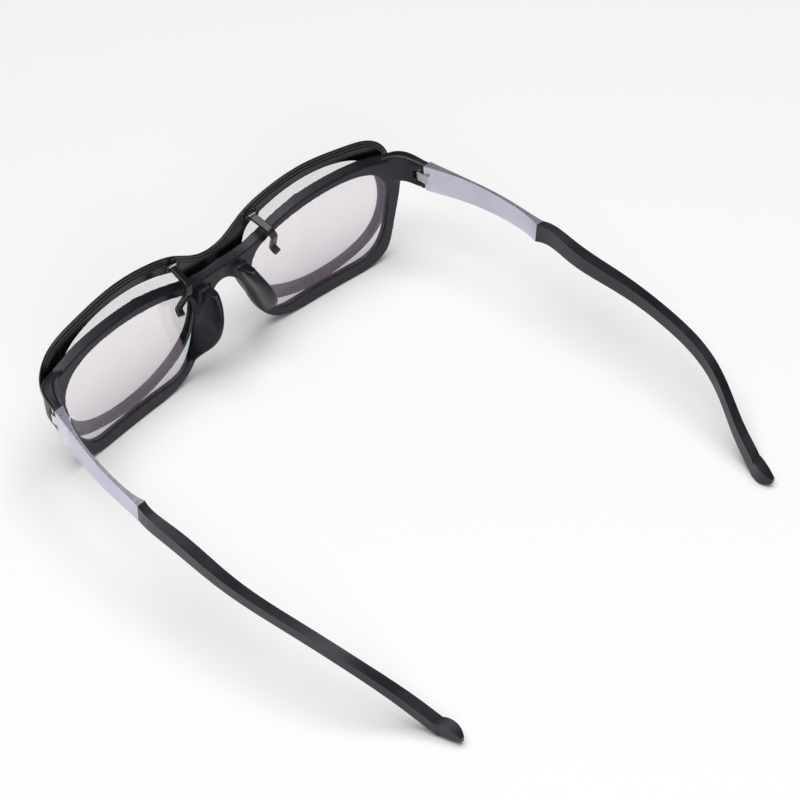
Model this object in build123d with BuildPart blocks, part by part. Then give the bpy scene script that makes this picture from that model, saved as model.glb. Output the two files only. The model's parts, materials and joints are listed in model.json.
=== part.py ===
"""Spectacles with a hook-on, flip-up clip-on. The temples are open, and the rims and
the temple tips rest on one flat surface.

X runs to the wearer's left, Y back along the temples, Z up. Millimetres.
While it is built the middle of the bridge is at X = 0 and the supporting surface
at Z = 0; export moves every piece so that the origin is the bottom centre of the
whole object's box.
"""
from build123d import *
from math import cos, radians, sin
import os

os.makedirs("parts", exist_ok=True)

# --- driving dimensions -------------------------------------------------------
wrap_radius = 430            # plan curve of the front and of the clip-on
front_y = -7.3               # front face of the spectacle front at the bridge
front_depth = 2.6            # front to back through a rim
brow_fall = 0.7              # how far the brow's top face drops for each mm from front to back
brow_land = 0.25             # upright part of that face, next to the front
temple_slope = 6.9           # degrees, fall of the temples towards the tips

lens_centre = (36, 20.2)     # X and Z of the left lens
lens_grip = 0.7              # how far a lens goes into its groove
lens_slack = 0.03            # air round a lens in its groove
lens_radius = 260
lens_y, lens_depth = front_y + 0.4, 1.2

clip_y = -9.65               # front face of the clip-on
clip_plate = 0.7             # thickness of its front plate
clip_steps = [(0.95, 0.95), (1.75, 1.2)]     # inset of each step behind it, and how far back it reaches
clip_lens_y, clip_lens_depth = clip_y + 0.25, 0.7
clip_grip = 0.6

rest_flat = 0.2                  # height of the flats under the rims

hinge_x, hinge_y = 67.9, 5.9     # temple hinge axis, vertical
joint_y = 8.0                    # where the end piece stops and the temple starts
joint_gap = 0.15
slot_low, slot_high, slot_round = 28.3, 31.7, 1.7
tongue_round = 1.4
screw_low, screw_length = 26.1, 6.9
screw_r, screw_head_r, screw_head_height = 0.7, 1.1, 0.8
insert_r, insert_length = 1.05, 1.7
running = 0.05                   # radial play of a running fit
behind = 25                      # how far in front of Y = 0 the flat outlines are drawn
BACKWARDS = (0, 1, 0)
STANDING = (Align.CENTER, Align.CENTER, Align.MIN)

pivot_x, pivot_y, pivot_z = 14.7, -7.15, 40.2    # flip hinge of the clip-on
pin_r, eye_r, eye_width = 0.4, 0.9, 2.4
lug_gap, lug_width = 0.15, 0.7
strap_width, strap_depth = 2.2, 1.2
strap_lean = 15                  # degrees, hooks lean outwards as they go down
hook_route = [(-7.15, -0.3), (-0.4, -2.2), (0.15, -4.7), (-3.25, -11.4), (-1.5, -12.9)]   # (Y, down the hook)
hook_bend = [1.4, 1.6, 0.9]

# Outlines of the left half, seen from the front, as (X, height).
front_outline = [(0, 33.5), (9, 33.6), (16, 35.5), (27, 38.6), (42, 39.7), (54, 38.7), (60.5, 37.0),
                 (64.8, 32), (64.9, 25.2), (61.4, 11.4), (58.2, 3.6), (52, 0.6), (44, 0.1), (31, 0.1),
                 (22, 1.0), (15.7, 4.1), (11, 10.4), (7.9, 18.7), (4.6, 25.1), (0, 27.6)]
brow_points, brow_end = 7, (75, 35)      # the brow's part of that outline, carried on past its corner
aperture = [(14.3, 30.6), (21, 33.2), (29, 34.9), (41, 35.8), (50, 34.9), (56.6, 32.1), (60.1, 27),
            (59.7, 19.5), (56.5, 8.8), (53, 5.6), (47, 4.7), (26, 4.7), (18.4, 5.7), (15, 9.4),
            (11.8, 17.6), (10.8, 25.2)]
clip_outline = [(0, 36.1), (5, 37.1), (12, 41.1), (21, 44.1), (35, 45.6), (50, 43.9), (61, 40.2),
                (64.6, 34.5), (64, 25), (61.5, 13.6), (56, 7.4), (46, 3.6), (35, 2.4), (22.5, 4.8),
                (12.6, 11), (8.8, 17.9), (5.8, 24.6), (0, 29)]
clip_aperture = [(14.7, 37.3), (25, 40.6), (35, 41.7), (48, 39.9), (55.3, 36), (59, 29), (59.4, 21),
                 (55.7, 13), (46.4, 8.2), (35, 7.1), (22, 10.1), (13.2, 17), (10.6, 25.1), (11.4, 33)]

# End piece, a bar from the rim's upper corner back to the temple: middle, direction in
# plan, thickness and height of its cross-sections.
end_sections = [((57, -2.2, 31.7), (1, 0), 2.5, 9.4), ((62.4, -1.5, 31.7), (1, 0.1), 2.9, 9.4),
                ((65.5, 0.5, 31.5), (1, 1), 3.4, 9.1), ((67.1, 3.8, 30.9), (0.2, 1), 3.1, 8.8),
                ((68.4, joint_y, 30.1), (0, 1), 3.0, 8.6)]
end_round = 0.8

# Cross-sections of the nose pads: height, (X, Y) at the rim, (X, Y) of the crest.
pad_sections = [(29, (6.4, -6.4), (7.0, 0.9)), (25, (7.6, -6.5), (8.4, 4.2)), (21, (9.4, -6.5), (9.9, 5.1)),
                (17, (11.0, -6.5), (11.2, 4.0)), (12.6, (12.9, -6.4), (12.7, 0.7)),
                (8, (15, -6.2), (14.6, -3.2))]
pad_half_width = 1.65

# Left temple: distance back, outer X, top, thickness, height, all along its own line.
arm_stations = [(5, 68.9, 0.4, 3.2, 8.9), (9, 69.8, 0.45, 2.7, 8.85), (15, 71.0, 0.5, 1.5, 8.7),
                (28, 73.5, 0.6, 0.9, 7.6), (38, 74.6, 0.5, 1.1, 6.9), (47, 75.2, 0.3, 2.6, 6.3)]
tip_stations = [(47, 75.2, 0.3, 2.6, 6.3), (60, 75.95, 0, 3.2, 5.2), (73, 76.1, -0.1, 3.3, 4.6),
                (86, 75.6, 0.2, 2.9, 4.2), (99, 74.0, 0.4, 2.8, 4.0), (112, 71.4, -0.8, 2.8, 4.0),
                (125, 66.7, -6.0, 2.9, 4.2), (133, 63.7, -10.2, 3.1, 4.4), (140, 61.4, -13.8, 3.1, 4.3)]
paddle_stations = [(138.8, 61.8, -12.8, 2.7, 4.4), (141, 61.1, -12.7, 3.2, 5), (143.5, 60.4, -13.3, 2.8, 4),
                   (146, 59.6, -14.4, 1, 1.5)]
hinge_top = 35.0                 # height of the temples' top line above the hinge plane Y = 0
arm_corners = (0.5, 0.5, 0.6)    # rounding at the top, at the outer and at the inner bottom
tip_corners = (0.8, 1.0, 1.7)
sleeve_start = 47                # where the tip's sleeve starts on the arm's tang
tang_width, tang_height, tang_length = 1.3, 2.6, 14
tang_x, tang_height_line = 74.2, -2.9
core_r, core_bend = 0.6, 18
core_route = [(64, 74.4, -2.7), (86, 74.3, -2.1), (104, 71.9, -2.1), (117, 68.3, -4.9), (133, 62.3, -12.5)]


# --- helpers -------------------------------------------------------------------
def wrapped_slab(face_y, depth, sunk=0.0, low=-5, high=60):
    """Upright plate with the plan curve of the face at face_y, from sunk to depth behind it."""
    with BuildPart() as slab:
        with BuildSketch(Plane.XY.offset(low)):
            with Locations((0, face_y + wrap_radius)):
                Circle(wrap_radius - sunk)
                Circle(wrap_radius - depth, mode=Mode.SUBTRACT)
        extrude(amount=high - low)
    return slab.part


def grown(points, distance):
    """The same closed outline with every point moved out along its own normal."""
    turn = sum(x0 * z1 - x1 * z0 for (x0, z0), (x1, z1) in zip(points, points[1:] + points[:1]))
    outward = distance if turn > 0 else -distance
    moved = []
    for before, (x, z), after in zip(points[-1:] + points, points, points[1:] + points[:1]):
        across, along = after[0] - before[0], after[1] - before[1]
        reach = (across**2 + along**2) ** 0.5
        moved.append((x + outward * along / reach, z - outward * across / reach))
    return moved


def closed_face(points, grow=0.0):
    """Face inside one smooth closed curve through the points, grown all round."""
    with BuildSketch(Plane.XZ.offset(behind)) as face:
        with BuildLine():
            Spline(*grown(points, grow), periodic=True)
        make_face()
    return face.sketch


def falling_roof(top_line, face_y):
    """Everything under the top line, which drops from just behind the wrapped face backwards."""
    line = [(x, height + brow_land + brow_fall * (behind + face_y + x**2 / (2 * wrap_radius)))
            for x, height in top_line]
    line = [(-x, height) for x, height in reversed(line) if x > 0] + line
    with BuildPart() as roofed:
        with BuildSketch(Plane.XZ.offset(behind)):
            with BuildLine():
                Spline(*line)
                Polyline(line[-1], (line[-1][0], -behind), (line[0][0], -behind), line[0])
            make_face()
        extrude(amount=2 * behind, dir=(0, 1, -brow_fall))
    return roofed.part


def both_halves(points):
    """Closed outline from the points of its left half, which start and end at X = 0."""
    return points + [(-x, height) for x, height in reversed(points) if x > 0]


def temple_plane(back, x, height):
    """Plane square to the temple's own line, its local X to the wearer's right."""
    slope = radians(temple_slope)
    along = Vector(0, cos(slope), -sin(slope))
    up = Vector(0, sin(slope), cos(slope))
    origin = Vector(x, 0, hinge_top) + along * back + up * height
    return Plane(origin=origin, x_dir=(-1, 0, 0), z_dir=along)


def temple_loft(stations, corners):
    """Left temple piece through stations with rounded corners, square to its line."""
    with BuildPart() as piece:
        for back, outer_x, top, thickness, height in stations:
            top_round, outer_round, inner_round = (min(r, 0.45 * min(thickness, height)) for r in corners)
            with BuildSketch(temple_plane(back, outer_x - thickness / 2, top - height / 2)):
                Rectangle(thickness, height)
                bottom, above = vertices().group_by(Axis.Y)
                outer, inner = bottom.sort_by(Axis.X)
                fillet(outer, outer_round)
                fillet(inner, inner_round)
                fillet(above, top_round)
        loft()
    return piece.part


def lens_blank(centre_x, centre_z, face_y, depth):
    """Spherical shell, wide enough for one lens, bulging forwards at its centre."""
    tilt = centre_x / wrap_radius
    wrapped_y = face_y + centre_x**2 / (2 * wrap_radius)
    middle = (centre_x - lens_radius * tilt, wrapped_y + lens_radius * cos(tilt), centre_z)
    with BuildPart() as blank:
        with Locations((centre_x, 0, centre_z)):
            Box(70, 40, 60)
        with Locations(middle):
            Sphere(lens_radius, mode=Mode.INTERSECT)
            Sphere(lens_radius - depth, mode=Mode.SUBTRACT)
    return blank.part


def other_side(piece):
    """The wearer's-right twin of a left piece."""
    return mirror(piece, about=Plane.YZ)


# --- spectacle front -------------------------------------------------------------
base_blank = lens_blank(*lens_centre, lens_y, lens_depth)
groove_blank = lens_blank(*lens_centre, lens_y - lens_slack, lens_depth + 2 * lens_slack)

with BuildPart() as lens_left:
    extrude(closed_face(aperture, lens_grip), amount=2 * behind, dir=BACKWARDS)
    add(base_blank, mode=Mode.INTERSECT)

with BuildPart() as lens_groove:
    extrude(closed_face(aperture, lens_grip + lens_slack), amount=2 * behind, dir=BACKWARDS)
    add(groove_blank, mode=Mode.INTERSECT)

with BuildPart() as end_piece:
    for middle, (across, back), thickness, height in end_sections:
        with BuildSketch(Plane(origin=middle, x_dir=(-back, across, 0), z_dir=(across, back, 0))):
            RectangleRounded(thickness, height, end_round)
    loft()

with BuildPart() as nose_pad:
    for height, rim_point, crest_point in pad_sections:
        across, back = crest_point[0] - rim_point[0], crest_point[1] - rim_point[1]
        reach = (across**2 + back**2) ** 0.5
        middle = ((rim_point[0] + crest_point[0]) / 2, (rim_point[1] + crest_point[1]) / 2, height)
        with BuildSketch(Plane(origin=middle, x_dir=(across / reach, back / reach, 0), z_dir=(0, 0, 1))):
            Ellipse(reach / 2, pad_half_width)
    loft()

# What leaves each end piece: the slot for the temple's tongue, the hinge holes, and
# the inner corners that the folding temple would hit.
with BuildPart() as hinge_cut:
    with BuildSketch(Plane.XY.offset(slot_low)):
        with Locations((hinge_x, hinge_y)):
            Circle(slot_round)
            Rectangle(16, 16, align=(Align.CENTER, Align.MIN))
            Rectangle(16, slot_round, align=(Align.MAX, Align.MAX))
    extrude(amount=slot_high - slot_low)
    with Locations((hinge_x, hinge_y, screw_low - 3)):
        Cylinder(screw_head_r + lens_slack, 3 + screw_head_height, align=STANDING)
    with Locations((hinge_x, hinge_y, screw_low)):
        Cylinder(screw_r + running, slot_low - screw_low + 1, align=STANDING)
    with Locations((hinge_x, hinge_y, slot_high - 1)):
        Cylinder(insert_r, 1 + insert_length, align=STANDING)
    with BuildSketch(Plane.XY.offset(20)):
        with Locations((hinge_x, hinge_y)):
            Rectangle(8, 8, align=(Align.MAX, Align.MIN))
            Circle(joint_y - hinge_y - 0.05, mode=Mode.SUBTRACT)
    extrude(amount=20)

with BuildPart() as front_frame:
    extrude(closed_face(both_halves(front_outline)), amount=2 * behind, dir=BACKWARDS)
    add(wrapped_slab(front_y, front_depth), mode=Mode.INTERSECT)
    add(falling_roof(front_outline[:brow_points] + [brow_end], front_y), mode=Mode.INTERSECT)
    add([end_piece.part, other_side(end_piece.part), nose_pad.part, other_side(nose_pad.part)])
    lens_opening = extrude(closed_face(aperture), amount=2 * behind, dir=BACKWARDS, mode=Mode.PRIVATE)
    for cut in (lens_opening, lens_groove.part, hinge_cut.part):
        add([cut, other_side(cut)], mode=Mode.SUBTRACT)
    with Locations((0, 0, rest_flat)):
        Box(200, 60, 20, align=(Align.CENTER, Align.CENTER, Align.MAX), mode=Mode.SUBTRACT)

with BuildPart() as screw_left:
    with Locations((hinge_x, hinge_y, screw_low)):
        Cylinder(screw_head_r, screw_head_height, align=STANDING)
        Cylinder(screw_r, screw_length, align=STANDING)
        Box(0.4, 3, 0.35, align=(Align.CENTER, Align.CENTER, Align.MIN), mode=Mode.SUBTRACT)

with BuildPart() as insert_left:
    with Locations((hinge_x, hinge_y, slot_high)):
        Cylinder(insert_r - lens_slack, insert_length, align=STANDING)
        Cylinder(screw_r + lens_slack, insert_length, align=STANDING, mode=Mode.SUBTRACT)

# --- temples ---------------------------------------------------------------------
tongue_low, tongue_high = slot_low + joint_gap, slot_high - joint_gap
with BuildPart() as arm_left:
    add(temple_loft(arm_stations, arm_corners))
    with Locations((0, joint_y + joint_gap, 0)):
        Box(400, 60, 200, align=(Align.CENTER, Align.MAX, Align.CENTER), mode=Mode.SUBTRACT)
    with BuildSketch(Plane.XY.offset(tongue_low)):
        with Locations((hinge_x, hinge_y)):
            Circle(tongue_round)
            Rectangle(2 * tongue_round, 4, align=(Align.CENTER, Align.MIN))
    extrude(amount=tongue_high - tongue_low)
    with Locations((hinge_x, hinge_y, tongue_low)):
        Cylinder(screw_r + running, tongue_high - tongue_low, align=STANDING, mode=Mode.SUBTRACT)
    with BuildSketch(temple_plane(sleeve_start, tang_x, tang_height_line)):
        RectangleRounded(tang_width, tang_height, 0.3)
    extrude(amount=tang_length)

core_points = [temple_plane(back, x, height).origin for back, x, height in core_route]
with BuildPart() as core_left:
    with BuildLine() as core_line:
        FilletPolyline(*core_points, radius=core_bend)
    with BuildSketch(Plane(core_line.wires()[0] @ 0, z_dir=core_line.wires()[0] % 0)):
        Circle(core_r)
    sweep(path=core_line.wires()[0])

with BuildPart() as core_hole:
    with BuildSketch(Plane(core_line.wires()[0] @ 0, z_dir=core_line.wires()[0] % 0)):
        Circle(core_r + lens_slack)
    sweep(path=core_line.wires()[0])

with BuildPart() as tip_left:
    add(temple_loft(tip_stations, tip_corners))
    add(temple_loft(paddle_stations, tip_corners))
    with BuildSketch(temple_plane(sleeve_start, tang_x, tang_height_line)):
        RectangleRounded(tang_width + 2 * lens_slack, tang_height + 2 * lens_slack, 0.3)
    extrude(amount=tang_length, mode=Mode.SUBTRACT)
    add(core_hole.part, mode=Mode.SUBTRACT)

# --- clip-on -----------------------------------------------------------------------
with BuildPart() as clip_lens_left:
    extrude(closed_face(clip_aperture, clip_grip), amount=2 * behind, dir=BACKWARDS)
    add(wrapped_slab(clip_lens_y, clip_lens_depth), mode=Mode.INTERSECT)

with BuildPart() as clip_groove:
    extrude(closed_face(clip_aperture, clip_grip + lens_slack), amount=2 * behind, dir=BACKWARDS)
    add(wrapped_slab(clip_lens_y - lens_slack, clip_lens_depth + 2 * lens_slack), mode=Mode.INTERSECT)


def clip_step(inset, depth):
    """One step of the clip-on's frame with no openings, from inside the plate to its depth."""
    with BuildPart() as step:
        extrude(closed_face(both_halves(clip_outline), -inset), amount=2 * behind, dir=BACKWARDS)
        add(wrapped_slab(clip_y, depth, clip_plate / 2), mode=Mode.INTERSECT)
    return step.part


with BuildPart() as lugs_left:
    for inner_face in (-eye_width / 2 - lug_gap - lug_width, eye_width / 2 + lug_gap):
        with BuildSketch(Plane.YZ.offset(pivot_x + inner_face)):
            with Locations((pivot_y, pivot_z)):
                Circle(eye_r)
                Rectangle(pivot_y - clip_y - 0.5, 2 * eye_r, align=(Align.MAX, Align.CENTER))
                Circle(pin_r + lens_slack, mode=Mode.SUBTRACT)
        extrude(amount=lug_width)

with BuildPart() as clip_frame:
    extrude(closed_face(both_halves(clip_outline)), amount=2 * behind, dir=BACKWARDS)
    add(wrapped_slab(clip_y, clip_plate), mode=Mode.INTERSECT)
    for inset, depth in clip_steps:
        add(clip_step(inset, depth))
    clip_opening = extrude(closed_face(clip_aperture), amount=2 * behind, dir=BACKWARDS, mode=Mode.PRIVATE)
    for cut in (clip_opening, clip_groove.part):
        add([cut, other_side(cut)], mode=Mode.SUBTRACT)
    add([lugs_left.part, other_side(lugs_left.part)])

lean = radians(strap_lean)
hook_plane = Plane(origin=(pivot_x, 0, pivot_z), x_dir=(0, 1, 0), z_dir=(cos(lean), 0, sin(lean)))
with BuildPart() as hook_left:
    with BuildSketch(hook_plane):
        with BuildLine():
            FilletPolyline(*hook_route, radius=hook_bend)
        trace(line_width=strap_depth)
    extrude(amount=strap_width / 2, both=True)
    with Locations(Location((pivot_x, pivot_y, pivot_z), (0, 90, 0))):
        Cylinder(eye_r, eye_width)
        Cylinder(pin_r + running, eye_width, mode=Mode.SUBTRACT)

with BuildPart() as pin_left:
    with Locations(Location((pivot_x, pivot_y, pivot_z), (0, 90, 0))):
        Cylinder(pin_r, eye_width + 2 * (lug_gap + lug_width))

# --- export ------------------------------------------------------------------------
pieces = {"front_frame": front_frame.part, "clip_frame": clip_frame.part}
for name, left in (("lens", lens_left), ("hinge_screw", screw_left), ("hinge_insert", insert_left),
                   ("temple_arm", arm_left), ("temple_tip", tip_left), ("tip_core", core_left),
                   ("clip_lens", clip_lens_left), ("hook", hook_left), ("pivot_pin", pin_left)):
    pieces[name + "_left"] = left.part
    pieces[name + "_right"] = other_side(left.part)

whole = Compound(list(pieces.values())).bounding_box()
settle = Pos(0, -(whole.min.Y + whole.max.Y) / 2, -whole.min.Z)
for name, piece in pieces.items():
    placed = settle * piece
    placed.label = name
    export_step(placed, f"parts/{name}.step")
print("size", whole.size, "moved", settle.position)
print("lowest", front_frame.part.bounding_box().min.Z, tip_left.part.bounding_box().min.Z)
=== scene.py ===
"""Looks of the spectacles with a hook-on, flip-up clip-on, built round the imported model.

Row frame, metres: X to the wearer's left, Y back along the temples, Z up from the
surface that the rims and the temple tips rest on.
"""
import json
import math
import bpy
import numpy as np
import openvdb
from mathutils import Matrix, Vector


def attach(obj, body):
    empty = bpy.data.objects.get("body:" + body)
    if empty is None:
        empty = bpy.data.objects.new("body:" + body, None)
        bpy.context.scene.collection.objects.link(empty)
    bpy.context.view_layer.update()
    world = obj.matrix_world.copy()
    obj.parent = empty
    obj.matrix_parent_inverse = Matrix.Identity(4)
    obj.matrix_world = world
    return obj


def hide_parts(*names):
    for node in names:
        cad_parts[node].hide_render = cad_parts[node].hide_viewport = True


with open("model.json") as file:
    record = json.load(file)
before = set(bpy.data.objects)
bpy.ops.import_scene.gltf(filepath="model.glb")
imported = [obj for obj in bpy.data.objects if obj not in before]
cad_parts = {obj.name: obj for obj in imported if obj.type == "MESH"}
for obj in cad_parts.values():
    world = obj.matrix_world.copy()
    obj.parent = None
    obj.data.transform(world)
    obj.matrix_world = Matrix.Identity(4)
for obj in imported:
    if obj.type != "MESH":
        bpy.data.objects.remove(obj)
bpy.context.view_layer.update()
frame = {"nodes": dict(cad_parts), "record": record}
nodes = frame["nodes"]
scene = bpy.context.scene
MM = 0.001
SIDES = ("left", "right")


def triangles_of(obj):
    """Vertices and triangles of a mesh object, as arrays."""
    mesh = obj.data
    mesh.calc_loop_triangles()
    points = np.zeros(3 * len(mesh.vertices), np.float32)
    mesh.vertices.foreach_get("co", points)
    corners = np.zeros(3 * len(mesh.loop_triangles), np.int32)
    mesh.loop_triangles.foreach_get("vertices", corners)
    return points.reshape(-1, 3), corners.reshape(-1, 3)


def offset(points, triangles, distance, voxel):
    """The closed surface moved outwards by the distance, on an even grid."""
    field = openvdb.FloatGrid.createLevelSetFromPolygons(
        points, triangles, transform=openvdb.createLinearTransform(voxelSize=voxel),
        halfWidth=abs(distance) / voxel + 3)
    points, triangles, quads = field.convertToPolygons(isovalue=distance)
    halves = np.concatenate([quads[:, [0, 1, 2]], quads[:, [0, 2, 3]]])
    return points, np.concatenate([triangles, halves]).astype(np.int32)


def moulded(node, name, body, fill, round_over, voxel):
    """A copy of a CAD node as a mould leaves it: gaps up to twice fill closed, edges rounded."""
    points, triangles = triangles_of(nodes[node])
    steps = (fill, -fill - round_over, round_over) if fill else (-round_over, round_over)
    for distance in steps:
        points, triangles = offset(points, triangles, distance, voxel)
    mesh = bpy.data.meshes.new(name)
    mesh.from_pydata(points.tolist(), [], triangles[:, ::-1].tolist())
    mesh.update()
    mesh.polygons.foreach_set("use_smooth", [True] * len(mesh.polygons))
    piece = bpy.data.objects.new(name, mesh)
    even = piece.modifiers.new("even", "SMOOTH")
    even.factor = 0.5
    even.iterations = 3
    scene.collection.objects.link(piece)
    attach(piece, body)
    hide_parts(node)
    return piece


# --- shader nodes ------------------------------------------------------------------
def feed(tree, socket, value):
    """Sets a socket, or links it where the value is another node's output."""
    if isinstance(value, bpy.types.NodeSocket):
        tree.links.new(value, socket)
    else:
        socket.default_value = value


def add_node(tree, kind, **values):
    """A shader node with its inputs set or linked, by their names."""
    node = tree.nodes.new("ShaderNode" + kind)
    for key, value in values.items():
        feed(tree, node.inputs[key.replace("_", " ")], value)
    return node


def object_place(tree):
    """Coordinates in the object's own metres."""
    return add_node(tree, "TexCoord").outputs["Object"]


def noise(tree, place, size, detail, **values):
    """Noise between 0 and 1, with features of the given size."""
    return add_node(tree, "TexNoise", Vector=place, Scale=1 / size, Detail=detail, **values).outputs["Fac"]


def remapped(tree, value, low, high, to_low=0.0, to_high=1.0):
    """The value moved from between low and high to between to_low and to_high."""
    node = add_node(tree, "MapRange", Value=value, From_Min=low, From_Max=high, To_Min=to_low, To_Max=to_high)
    return node.outputs["Result"]


def product(tree, first, second):
    """Two values multiplied."""
    node = tree.nodes.new("ShaderNodeMath")
    node.operation = "MULTIPLY"
    feed(tree, node.inputs[0], first)
    feed(tree, node.inputs[1], second)
    return node.outputs["Value"]


def blended(tree, share, first, second):
    """Colour between the first and the second, by a share from 0 to 1."""
    mix = tree.nodes.new("ShaderNodeMix")
    mix.data_type = "RGBA"
    fac, start, end = mix.inputs[0], mix.inputs[6], mix.inputs[7]
    feed(tree, fac, share)
    feed(tree, start, first)
    feed(tree, end, second)
    return mix.outputs[2]


# --- materials ---------------------------------------------------------------------
def blank(name):
    """A new material, its node tree and its shader."""
    material = bpy.data.materials.new(name)
    material.use_nodes = True
    return material, material.node_tree, material.node_tree.nodes["Principled BSDF"]


def surface(name, colour, edge_colour, roughness, spread=0.06, grain=0.12 * MM, depth=0.004 * MM, stretch=(1, 1, 1),
            **sockets):
    """Opaque material with grain, uneven roughness and paler edges."""
    material, tree, shader = blank(name)
    for key, value in sockets.items():
        shader.inputs[key.replace("_", " ")].default_value = value
    place = object_place(tree)
    along = add_node(tree, "Mapping", Vector=place, Scale=stretch).outputs["Vector"]
    fine = noise(tree, along, grain, 3.0)
    broad = noise(tree, place, 9 * MM, 4.0)
    # Convex edges, found by pointiness, are made paler in broad patches.
    edges = remapped(tree, add_node(tree, "NewGeometry").outputs["Pointiness"], 0.52, 0.62)
    paler_edge_share = product(tree, edges, broad)
    feed(tree, shader.inputs["Base Color"], blended(tree, paler_edge_share, (*colour, 1), (*edge_colour, 1)))
    uneven = remapped(tree, broad, 0.3, 0.7, roughness - spread, roughness + spread)
    feed(tree, shader.inputs["Roughness"], uneven)
    relief = add_node(tree, "Bump", Height=fine, Strength=0.6, Distance=depth)
    feed(tree, shader.inputs["Normal"], relief.outputs["Normal"])
    return material


def brushed(name, colour, top_shade_colour, roughness):
    """Brushed, anodised metal: streaks along the temple, and painted shade on faces that point up, darker and
    mottled.
    """
    material = surface(name, colour, (0.95, 0.95, 1.0), roughness, spread=0.07, grain=0.09 * MM,
                       depth=0.003 * MM, stretch=(1, 0.02, 1), Metallic=0.85)
    tree = material.node_tree
    base = tree.nodes["Principled BSDF"].inputs["Base Color"]
    face = base.links[0].from_socket
    normal = add_node(tree, "SeparateXYZ", Vector=add_node(tree, "NewGeometry").outputs["True Normal"])
    # Painted shade: faces that point up get a darker, mottled colour.
    shaded_top_share = remapped(tree, normal.outputs["Z"], 0.35, 0.8, to_high=0.85)
    across = add_node(tree, "Mapping", Vector=object_place(tree), Scale=(0.3, 1, 1)).outputs["Vector"]
    speckle = remapped(tree, noise(tree, across, 0.5 * MM, 4.0, Roughness=0.7), 0.35, 0.65)
    paler = [0.6 * channel for channel in colour]
    painted_top_shade = blended(tree, speckle, (*top_shade_colour, 1), (*paler, 1))
    feed(tree, base, blended(tree, shaded_top_share, face, painted_top_shade))
    return material


def glass(name, colour, ior, coat_tint):
    """Clear lens material with a coloured anti-reflection sheen and faint dust."""
    material, tree, shader = blank(name)
    shader.inputs["Transmission Weight"].default_value = 1.0
    shader.inputs["IOR"].default_value = ior
    shader.inputs["Specular Tint"].default_value = (*coat_tint, 1)
    place = object_place(tree)
    dust = noise(tree, place, 0.35 * MM, 2.0)
    feed(tree, shader.inputs["Roughness"], remapped(tree, dust, 0.78, 0.84, 0.01, 0.12))
    film = noise(tree, place, 14 * MM, 2.0)
    filmed = [0.97 * channel for channel in colour]
    feed(tree, shader.inputs["Base Color"], blended(tree, film, (*colour, 1), (*filmed, 1)))
    return material


def paint(obj, material):
    """Gives the whole object one material."""
    obj.data.materials.clear()
    obj.data.materials.append(material)


BLACK = (0.006, 0.006, 0.009)
BLACK_EDGE = (0.035, 0.035, 0.042)
COOL_SHEEN = {"Specular_IOR_Level": 0.42, "Specular_Tint": (0.93, 0.92, 1, 1)}
finishes = {
    "front_plastic": surface("front_plastic", BLACK, BLACK_EDGE, 0.38, **COOL_SHEEN),
    "clip_plastic": surface("clip_plastic", (0.004, 0.004, 0.0045), (0.035, 0.035, 0.04), 0.25, spread=0.05,
                            grain=0.2 * MM, depth=0.002 * MM),
    "tip_plastic": surface("tip_plastic", BLACK, BLACK_EDGE, 0.36, grain=0.15 * MM, depth=0.003 * MM,
                           **COOL_SHEEN),
    "hook_coat": surface("hook_coat", (0.010, 0.009, 0.009), (0.08, 0.08, 0.09), 0.3, grain=0.3 * MM),
    "steel": surface("steel", (0.56, 0.56, 0.58), (0.8, 0.8, 0.8), 0.3, Metallic=1.0),
    "brass": surface("brass", (0.68, 0.5, 0.22), (0.9, 0.8, 0.5), 0.3, Metallic=1.0),
    "brushed_aluminium": brushed("brushed_aluminium", (0.66, 0.63, 0.74), (0.15, 0.145, 0.17), 0.45),
    "clear_lens": glass("clear_lens", (0.97, 0.965, 0.97), 1.6, (0.95, 0.68, 1.0)),
    "tinted_lens": glass("tinted_lens", (0.93, 0.89, 0.91), 1.5, (0.9, 0.85, 1.0)),
}
for part in frame["record"]["subparts"]:
    paint(nodes[part["node"]], finishes[part["material_slot"]])

# --- moulded pieces ----------------------------------------------------------------
# Node, body, slot, then in millimetres: half the width of the gaps that are closed, the
# radius that edges are rounded to, and the grid's step.
pieces = [("front_frame", "front", "front_plastic", 0.85, 0.35, 0.14),
          ("clip_frame", "clip", "clip_plastic", 0.45, 0.1, 0.09)]
for side in SIDES:
    pieces.append(("hook_" + side, "hooks", "hook_coat", 0, 0.25, 0.08))
for node, body, slot, fill, round_over, voxel in pieces:
    piece = moulded(node, node + "_moulding", body, fill * MM, round_over * MM, voxel * MM)
    paint(piece, finishes[slot])

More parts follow.
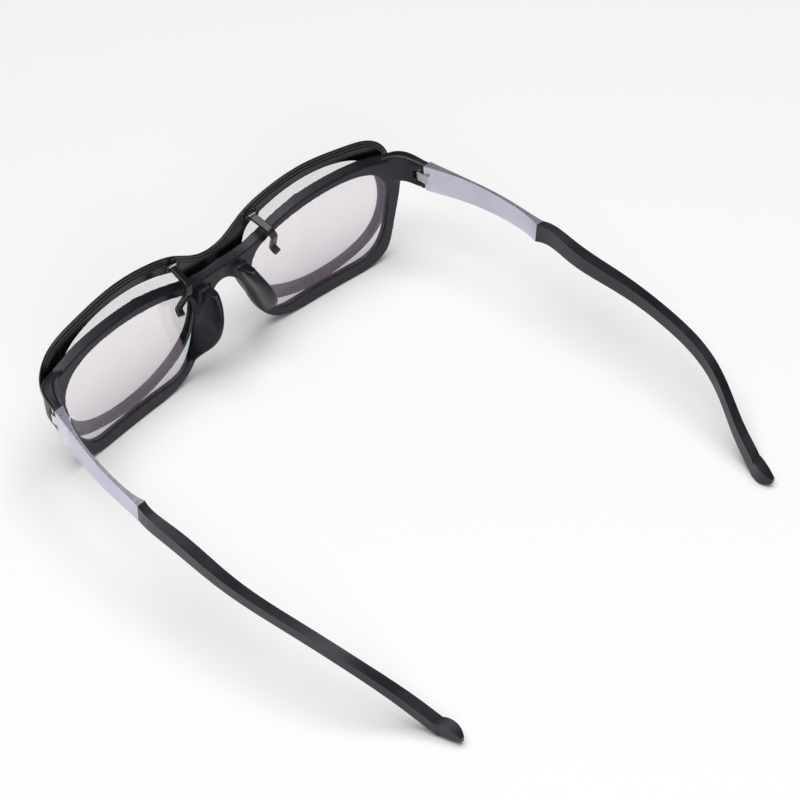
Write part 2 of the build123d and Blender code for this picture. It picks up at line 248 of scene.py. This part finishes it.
# --- camera ------------------------------------------------------------------------
camera_data = bpy.data.cameras.new("camera")
camera_data.lens = 112.5
camera_data.sensor_width = 36
camera_data.clip_start = 0.01
camera_data.clip_end = 10
camera = bpy.data.objects.new("camera", camera_data)
scene.collection.objects.link(camera)
azimuth, elevation, roll = (math.radians(angle) for angle in (138.04, 42.81, -4.517))
back = Vector((math.sin(azimuth) * math.cos(elevation), -math.cos(azimuth) * math.cos(elevation),
               math.sin(elevation)))
level = Vector((math.cos(azimuth), math.sin(azimuth), 0))
upright = back.cross(level)
right = math.cos(roll) * level + math.sin(roll) * upright
above = math.cos(roll) * upright - math.sin(roll) * level
camera.matrix_world = Matrix((right, above, back)).transposed().to_4x4()
camera.location = (0.32298, 0.35703, 0.47184)
scene.camera = camera

# --- floor -------------------------------------------------------------------------
floor_mesh = bpy.data.meshes.new("floor")
reach = 3.0
floor_mesh.from_pydata([(-reach, -reach, 0), (reach, -reach, 0), (reach, reach, 0), (-reach, reach, 0)], [],
                       [(0, 1, 2, 3)])
floor = bpy.data.objects.new("floor", floor_mesh)
scene.collection.objects.link(floor)
white = (0.93, 0.93, 0.93)
paint(floor, surface("floor_white", white, white, 0.85, spread=0.04, grain=1 * MM, depth=0.002 * MM))


# --- lights ------------------------------------------------------------------------
def softbox(name, place, size, watts):
    """Square area light that faces the middle of the object."""
    lamp = bpy.data.lights.new(name, "AREA")
    lamp.size = size
    lamp.energy = watts
    light = bpy.data.objects.new(name, lamp)
    light.location = place
    light.rotation_mode = "QUATERNION"
    middle = Vector((0, 0, 0.02))
    light.rotation_quaternion = (Vector(place) - middle).to_track_quat("Z", "Y")
    scene.collection.objects.link(light)


softbox("overhead", (0.1, 0.1, 1.5), 1.5, 26)
softbox("key", (0.7, 1.0, 0.8), 0.5, 3.5)

world = bpy.data.worlds.new("world")
scene.world = world
world.use_nodes = True
sky = world.node_tree.nodes["Background"].inputs
sky["Color"].default_value = (0.9, 0.93, 1, 1)
sky["Strength"].default_value = 0.1
scene.view_settings.view_transform = "Standard"
